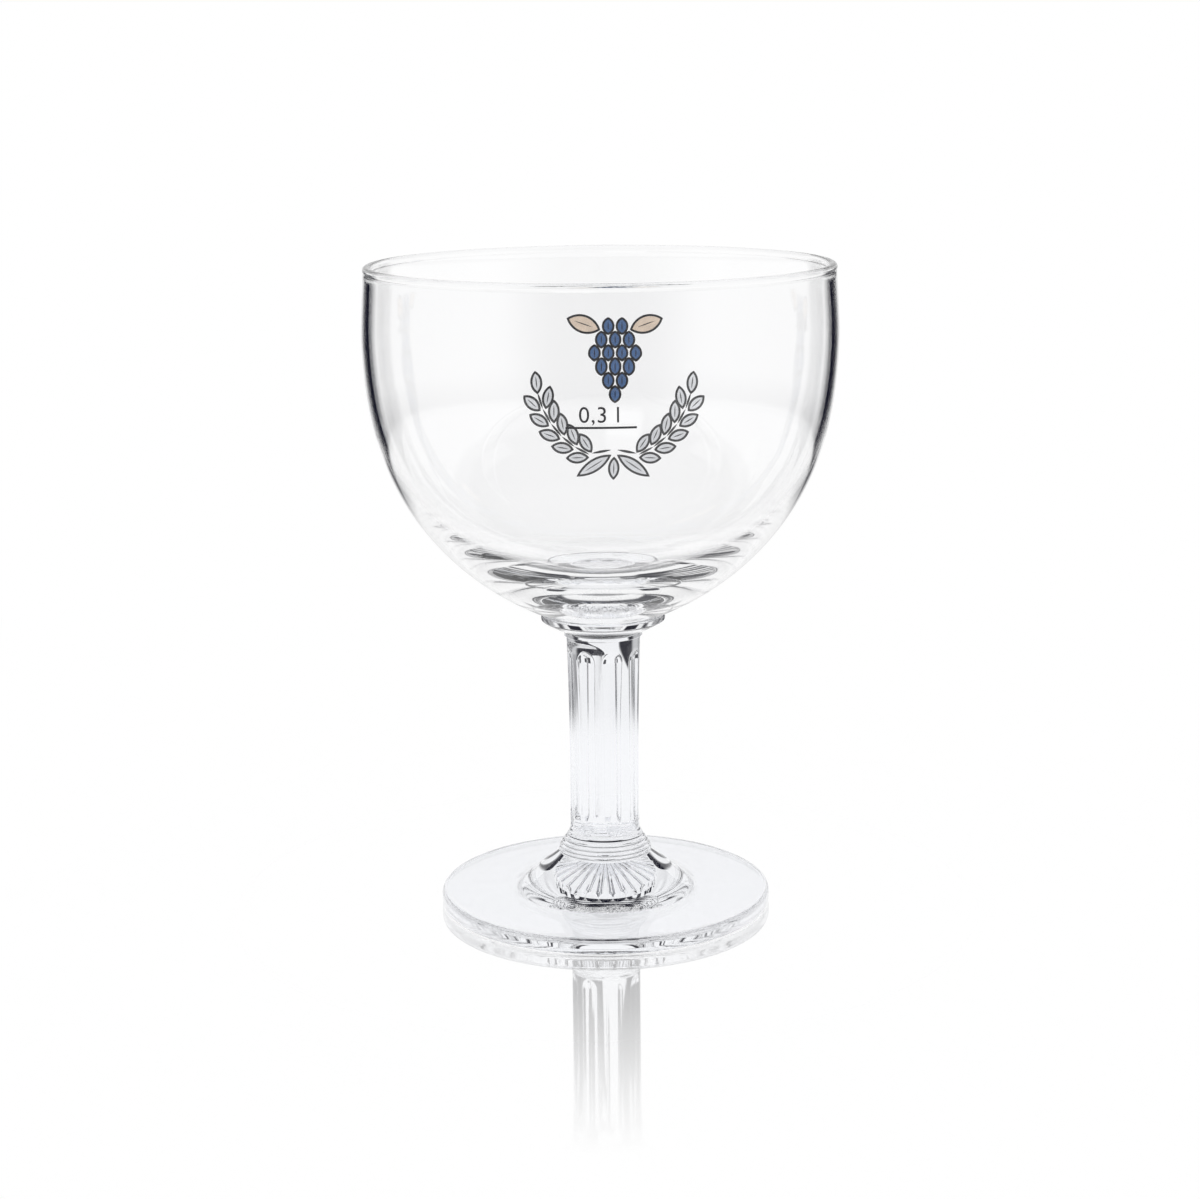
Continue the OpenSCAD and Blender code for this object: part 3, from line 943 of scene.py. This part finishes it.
class MakePrint(bpy.types.Operator):
    """Lays the enamel decoration on the far side of the bowl"""

    bl_idname = "chalice.print"
    bl_label = "Decoration"

    def execute(self, context):
        p = sizes("print")
        motif = Motif(p)
        leaves = {
            "scale": (*motif.scale, motif.scales()),
            "grain": (p.grain, p.grain_width, motif.grains()),
            "blade": (p.blade, p.blade_width, motif.blades()),
            "hop_leaf": (p.hop_leaf, p.hop_leaf_width, motif.hop_leaves()),
        }
        fills = {
            "enamel_blue": (("scale",), p.blue), "enamel_grey": (("grain", "blade"), p.grey),
            "enamel_cream": (("hop_leaf",), p.cream),
        }
        for name, (kinds, tone) in fills.items():
            shapes = []
            for kind in kinds:
                long, wide, places = leaves[kind]
                shapes.append((leaf_fill(kind, long, wide, -p.contour / 2), places))
            self.lay(name, tone, shapes)
        lines = [
            (leaf_ring(kind, long, wide, p.contour), places)
            for kind, (long, wide, places) in leaves.items()
        ]
        lines += [
            (black_line("vein", long * VEIN_LONG_SHARE, p.vein),
             moved_along(places, long * VEIN_FROM_SHARE))
            for long, _wide, places in leaves.values()
        ]
        stalk = black_line("stalk", motif.stalk_length(), p.stalk_width)
        ear = black_line("ear", p.grain_pitch, p.contour)
        lines += [(stalk, motif.stalks()), (ear, motif.ear_stalks())]
        self.lay("enamel_black", p.black, lines)
        return {"FINISHED"}

    @staticmethod
    def lay(name, tone, shapes):
        p = sizes("print")
        material = enamel(name.replace("enamel", "fired"), tuple(tone))
        parts = []
        for i, (mesh, places) in enumerate(shapes):
            shape = add_object(f"{name}_shape", mesh)
            tree, given = on_bowl(f"{name}_{i}", material, p.middle, p.turn, shape)
            parts.append(baked(f"{name}_{i}", points(f"{name}_points", places), tree, given))
            bpy.data.objects.remove(shape)
        keep(add_object(name, join_meshes(name, parts, material)), [name])


def join_meshes(name, parts, material):
    work = bmesh.new()
    for part in parts:
        work.from_mesh(part)
    mesh = bpy.data.meshes.new(name)
    work.to_mesh(mesh)
    work.free()
    mesh.materials.append(material)
    mesh.polygons.foreach_set("material_index", [0] * len(mesh.polygons))
    smooth(mesh)
    return mesh


# The numerals beside the fill line: their size, and where they start from the line's middle
NUMERAL_SIZE = 5.2 * MM
NUMERAL_SPACING = 1.05
NUMERAL_START = (-5.1 * MM, 1.2 * MM)


class MakeFillMark(bpy.types.Operator):
    """Lays the fill line and its numerals on the near side of the bowl"""

    bl_idname = "chalice.fill_mark"
    bl_label = "Fill mark"

    def execute(self, context):
        p = sizes("print")
        material = enamel("fill_mark", tuple(p.black))
        stroke = p.line_stroke / 2
        along = [p.line_length * (i / LINE_STEPS - 0.5) for i in range(LINE_STEPS + 1)]
        pairs = [((x, -stroke), (x, stroke)) for x in along]
        self.lay("fill_line", slab("fill_line", pairs, False), material, ["fill_line"])
        self.lay("fill_numerals", self.numerals(), material, [])
        return {"FINISHED"}

    @staticmethod
    def lay(name, mesh, material, replaced):
        tree, given = on_bowl(name, material, sizes("print").line_height, math.pi)
        made = baked(name, mesh, tree, given)
        smooth(made)
        keep(add_object(name, made), replaced)

    @staticmethod
    def numerals():
        """The capacity in plain numerals, as thin as the line."""
        p = sizes("print")
        curve = bpy.data.curves.new("numerals", "FONT")
        curve.body = "0,3 l"
        curve.size = NUMERAL_SIZE
        curve.space_character = NUMERAL_SPACING
        curve.extrude = (p.proud - p.lift) / 2
        holder = bpy.data.objects.new("numerals", curve)
        bpy.context.scene.collection.objects.link(holder)
        graph = bpy.context.evaluated_depsgraph_get()
        mesh = bpy.data.meshes.new_from_object(holder.evaluated_get(graph))
        bpy.data.objects.remove(holder)
        mesh.transform(Matrix.Translation((*NUMERAL_START, (p.proud + p.lift) / 2)))
        return mesh


# The camera: where it stands, and how far it looks down, aside and leans
CAMERA_PLACE = (0.0, -0.5981, 0.2119)
CAMERA_DEG = (12.541, -0.069, -0.564)
# How far below the foot the floor lies, so that the two faces never meet
FLOOR_GAP = -0.02 * MM
# Distances from the axis over which the floor turns plain white and ends for reflections
FLOOR_WHITE = (0.16, 0.4)
FLOOR_END = (0.14, 0.2)
# The set behind and beside the glass. Directions are degrees to either side of straight behind
# the glass; heights are the sine of a ray's slope. A pair is where a card's edge starts and
# ends; four numbers are a card's two edges.
DARK = 0.004
STEEP = (-0.33, -0.28)
CEILING = (0.3, 0.38)
CEILING_LIFT = 0.14
LEAST_THROUGH_BOWL = 2.5
BACKGROUND_DEG = (14, 20)
BELOW_DEG, BELOW = 25, (-0.225, -0.195)
SIDES_DEG = (38, 46, 145, 155)
WINDOWS_DEG = ((78, 82, 98, 102), (121, 125, 145, 149))
FAR_WALL_DEG, FAR_WALL, FAR_WALL_TONE = (57, 63), (-0.27, -0.23), 0.85
THROUGH_TOP = (0.26, 0.4)
# The same for what the glass mirrors
MIRRORED_BACKGROUND_DEG = (15, 19)
WIDER_DEG, WIDER = 28, (0.0, 0.1, 0.33, 0.39)
FADE_DEG, FADE_TONE, SIDE_TONE = (110, 165), 0.8, 0.7
STEM_FLAG = (-0.3, -0.16)
MIRRORED_TOP = (0.407, 0.643)
SOFTBOX_DEG, SOFTBOX_EDGE_DEG, SOFTBOX = 166, (8, 13), (0.4, 0.45, 0.62, 0.68)
STRIPS_DEG, STRIPS_TONE = (30, 40, 110, 120), 0.8
STRIPS = ((0.4, 0.43, 0.47, 0.5), (0.55, 0.58, 0.64, 0.67))
FLAG_DEG, FLAG = (65, 80), (0.5, 0.8)
ROOM_TONE, FLAG_TONE, INSIDE_TONE, OUTSIDE_TONE = 0.15, 0.14, 0.9, 0.8


class MakeStage(bpy.types.Operator):
    """Lays the floor, sets the camera and lights the set"""

    bl_idname = "chalice.stage"
    bl_label = "Stage"

    def execute(self, context):
        self.floor()
        self.room()
        self.camera()
        scene = context.scene
        scene.view_settings.view_transform = "Standard"
        scene.cycles.blur_glossy = 0.0
        scene.cycles.max_bounces = 128
        scene.cycles.transmission_bounces = 128
        scene.cycles.glossy_bounces = 96
        scene.cycles.transparent_max_bounces = 32
        scene.cycles.caustics_reflective = True
        scene.cycles.caustics_refractive = True
        return {"FINISHED"}

    @staticmethod
    def floor():
        s = sizes("stage")
        w, z = s.floor, FLOOR_GAP
        mesh = bpy.data.meshes.new("floor")
        mesh.from_pydata([(-w, -w, z), (w, -w, z), (w, w, z), (-w, w, z)], [], [(0, 1, 2, 3)])
        material, nodes = new_material("glossy_white_floor")
        seen, mirrored, through = nodes.outputs(
            "ShaderNodeLightPath", "Is Camera Ray", "Is Glossy Ray", "Is Transmission Ray"
        )
        looked_at = seen.high(mirrored).high(through)
        (place,) = nodes.outputs("ShaderNodeTexCoord", "Object")
        away = nodes.wire(
            "ShaderNodeVectorMath", {"operation": "LENGTH"}, [place], output="Value")
        plain = nodes.wire("ShaderNodeBsdfDiffuse", inputs={"Color": (1.0, 1.0, 1.0, 1.0)})
        white = nodes.wire("ShaderNodeEmission", inputs={"Strength": 1.0})
        near = nodes.over(looked_at * 0.85, plain, white)
        far = away.step(*FLOOR_WHITE)
        ground = nodes.over(far * looked_at, near, white)
        beyond = away.step(*FLOOR_END) * (1 - seen)
        open_set = nodes.wire("ShaderNodeBsdfTransparent")
        gloss = nodes.wire(
            "ShaderNodeBsdfGlossy", inputs={"Color": (1, 1, 1, 1), "Roughness": 0.03})
        edge = sizes("foot").diameter / 2
        fade = nodes.wire("ShaderNodeMapRange", inputs={
            "Value": away, "From Min": edge, "From Max": s.mirror_end, "To Min": 1.0, "To Max": 0.0,
        }) * away.step(edge - 1.5 * MM, edge + 0.5 * MM)
        mirror = fade * s.mirror * looked_at
        finish_material(nodes, nodes.over(beyond, nodes.over(mirror, ground, gloss), open_set))
        piece = add_object("floor", mesh, [material])

    @staticmethod
    def room():
        """White all round for what is looked at straight or lights a surface. Glass shows it
        with dark flags beside the white background, which draw its edges."""
        world = bpy.data.worlds.new("white_set")
        bpy.context.scene.world = world
        world.use_nodes = True
        nodes = Nodes(world.node_tree)
        glossy, through, sharp, diffuse_count, glossy_count, through_count = nodes.outputs(
            "ShaderNodeLightPath", "Is Glossy Ray", "Is Transmission Ray", "Is Singular Ray",
            "Diffuse Depth", "Glossy Depth", "Transmission Depth",
        )
        (way,) = nodes.outputs("ShaderNodeTexCoord", "Generated")
        x, y, z = nodes.split(way)
        turn = x.maths("ARCTAN2", x, y) * math.degrees(1.0)
        aside = turn.size()
        first_hit = 1 - through_count.above(0.5)
        through_bowl = through_count.above(LEAST_THROUGH_BOWL)
        through_one = (1 - first_hit) * (1 - through_bowl)
        bounced = glossy_count.above(0.5)
        steep = 1 - z.step(*STEEP)
        # Through glass: the background, which is wider for the rays that pass the stem, and
        # white sides for what the two walls of the bowl let through
        lower = 1 - z.step(*BELOW)
        lifted = z - through_bowl * CEILING_LIFT
        below_ceiling = 1 - lifted.step(*CEILING)
        sides = aside.band(*SIDES_DEG) * below_ceiling
        windows = (aside.band(*WINDOWS_DEG[0]) * (1 - lower)).high(aside.band(*WINDOWS_DEG[1]))
        background = 1 - (aside - lower * BELOW_DEG).step(*BACKGROUND_DEG)
        far_wall = FAR_WALL_TONE * (1 - z.step(*FAR_WALL)) * (1 - aside.step(*FAR_WALL_DEG))
        panels = background.high(sides * through_bowl).high(windows * (1 - through_bowl))
        panels = panels.high(far_wall).high(steep)
        behind_glass = DARK + panels * (1 - lifted.step(*THROUGH_TOP)) * (1 - DARK)
        # Mirrored by glass: grey sides that fade towards the camera, a softbox above it, and
        # two strips of light on the ceiling for the bowl's thick bottom
        fading = 1 - aside.step(*FADE_DEG) * FADE_TONE
        fading = aside.step(*SIDES_DEG[:2]) * fading * below_ceiling
        stem_flag = (1 - z.step(*STEM_FLAG)) * through_one
        background = 1 - (aside - z.band(*WIDER) * WIDER_DEG).step(*MIRRORED_BACKGROUND_DEG)
        softbox = 1 - (turn + SOFTBOX_DEG).size().step(*SOFTBOX_EDGE_DEG)
        softbox = softbox * z.band(*SOFTBOX)
        reflected = background.high(fading * SIDE_TONE * (1 - stem_flag))
        reflected = reflected * (1 - z.step(*MIRRORED_TOP))
        strips = z.band(*STRIPS[0]).high(z.band(*STRIPS[1]))
        strips = strips * aside.band(*STRIPS_DEG) * STRIPS_TONE
        reflected = reflected.high(softbox).high(strips * through_one).high(steep)
        inside = DARK + reflected * INSIDE_TONE
        flagged = (1 - aside.step(*FLAG_DEG)) * (1 - z.step(*FLAG))
        mirrored = (ROOM_TONE - flagged * FLAG_TONE).high(reflected * OUTSIDE_TONE)
        seen_in_gloss = mirrored * first_hit + inside * (1 - first_hit)
        seen_through = behind_glass * (1 - bounced) + inside * bounced
        gloss = glossy * sharp
        lit = seen_through * through + seen_in_gloss * gloss + (1 - through) * (1 - gloss)
        free = diffuse_count.above(0.5)
        level = lit * (1 - free) + free
        cool = nodes.mix(level, (0.0, 0.0, 0.01), (1.0, 1.0, 1.0))
        back = nodes.wire("ShaderNodeBackground", inputs={"Color": cool, "Strength": 1.0})
        nodes.add("ShaderNodeOutputWorld", inputs={"Surface": back})

    @staticmethod
    def camera():
        """The view of the photograph: 12.5 degrees down, 0.6 m from the axis."""
        data = bpy.data.cameras.new("camera")
        data.lens = sizes("stage").lens
        data.clip_start, data.clip_end = 0.01, 100.0
        camera = bpy.data.objects.new("camera", data)
        bpy.context.scene.collection.objects.link(camera)
        bpy.context.scene.camera = camera
        down, aside, roll = (math.radians(a) for a in CAMERA_DEG)
        ahead = np.array([
            math.sin(aside) * math.cos(down), math.cos(aside) * math.cos(down), -math.sin(down)
        ])
        right = np.array([math.cos(aside), -math.sin(aside), 0.0])
        up = np.cross(right, ahead)
        across = math.cos(roll) * right + math.sin(roll) * up
        upright = -math.sin(roll) * right + math.cos(roll) * up
        place = np.eye(4)
        place[:3, 0], place[:3, 1], place[:3, 2] = across, upright, -ahead
        place[:3, 3] = CAMERA_PLACE
        camera.matrix_world = Matrix(place.tolist())


class GlassPanel(bpy.types.Panel):
    """Sizes and colours of the glass, and a button for each piece"""

    bl_idname = "VIEW3D_PT_chalice"
    bl_label = "Chalice Beer Glass"
    bl_space_type = "VIEW_3D"
    bl_region_type = "UI"
    bl_category = "Glass"

    def draw(self, context):
        for operator in OPERATORS:
            self.layout.operator(operator.bl_idname)
        for name, group in GROUPS.items():
            box = self.layout.box()
            box.label(text=name.capitalize())
            for prop in group.__annotations__:
                box.prop(sizes(name), prop)


GROUPS = {
    "bowl": BowlSizes, "collar": CollarSizes, "stem": StemSizes, "foot": FootSizes,
    "print": PrintSizes, "stage": StageSettings,
}
OPERATORS = (MakeBowl, MakeCollar, MakeStem, MakeFoot, MakeFillMark, MakePrint, MakeStage)


def register():
    for one in (*GROUPS.values(), *OPERATORS, GlassPanel):
        bpy.utils.register_class(one)
    for name, group in GROUPS.items():
        setattr(bpy.types.Scene, f"chalice_{name}", PointerProperty(type=group))


def unregister():
    for name in GROUPS:
        delattr(bpy.types.Scene, f"chalice_{name}")
    for one in (GlassPanel, *OPERATORS[::-1], *GROUPS.values()):
        bpy.utils.unregister_class(one)


def main():
    register()
    for operator in OPERATORS:
        group, name = operator.bl_idname.split(".")
        getattr(getattr(bpy.ops, group), name)()


if __name__ == "__main__":
    main()
